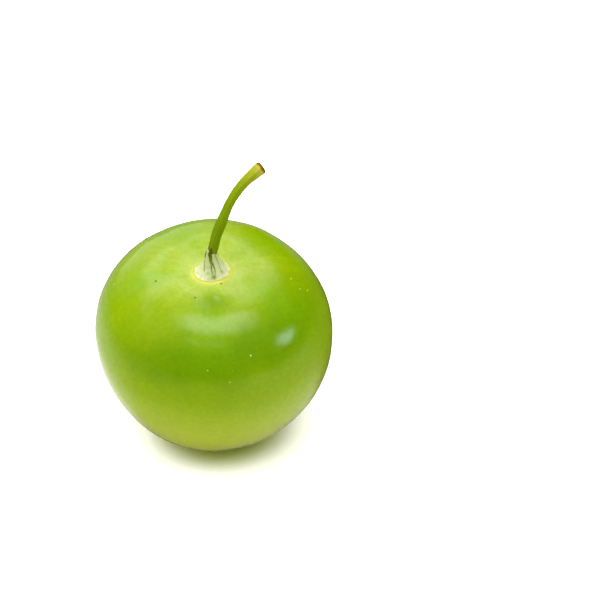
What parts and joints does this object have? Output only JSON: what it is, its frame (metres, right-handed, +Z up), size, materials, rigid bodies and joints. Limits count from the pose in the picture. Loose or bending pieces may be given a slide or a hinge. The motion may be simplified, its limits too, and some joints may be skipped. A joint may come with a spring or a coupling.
{
  "type": "tomatillo",
  "caption": "Whole green tomatillo out of its husk, a round waxy fruit with a torn pale collar and a curved stem, resting on a small flat spot",
  "frame": {"origin": "on the surface that the fruit rests on, under the middle of the part's box", "axes": "+Z up, -Y is the front of the picture's view, +X is to the right there"},
  "size_m": [0.0498, 0.0502, 0.0656],
  "materials": {
    "skin": "glossy waxy fruit skin",
    "calyx": "matte torn plant tissue with green veins",
    "stem": "satin ridged green stalk"
  },
  "bodies": {
    "root": {"fruit": "skin", "calyx_base": "calyx", "stem": "stem"}
  },
  "joints": []
}
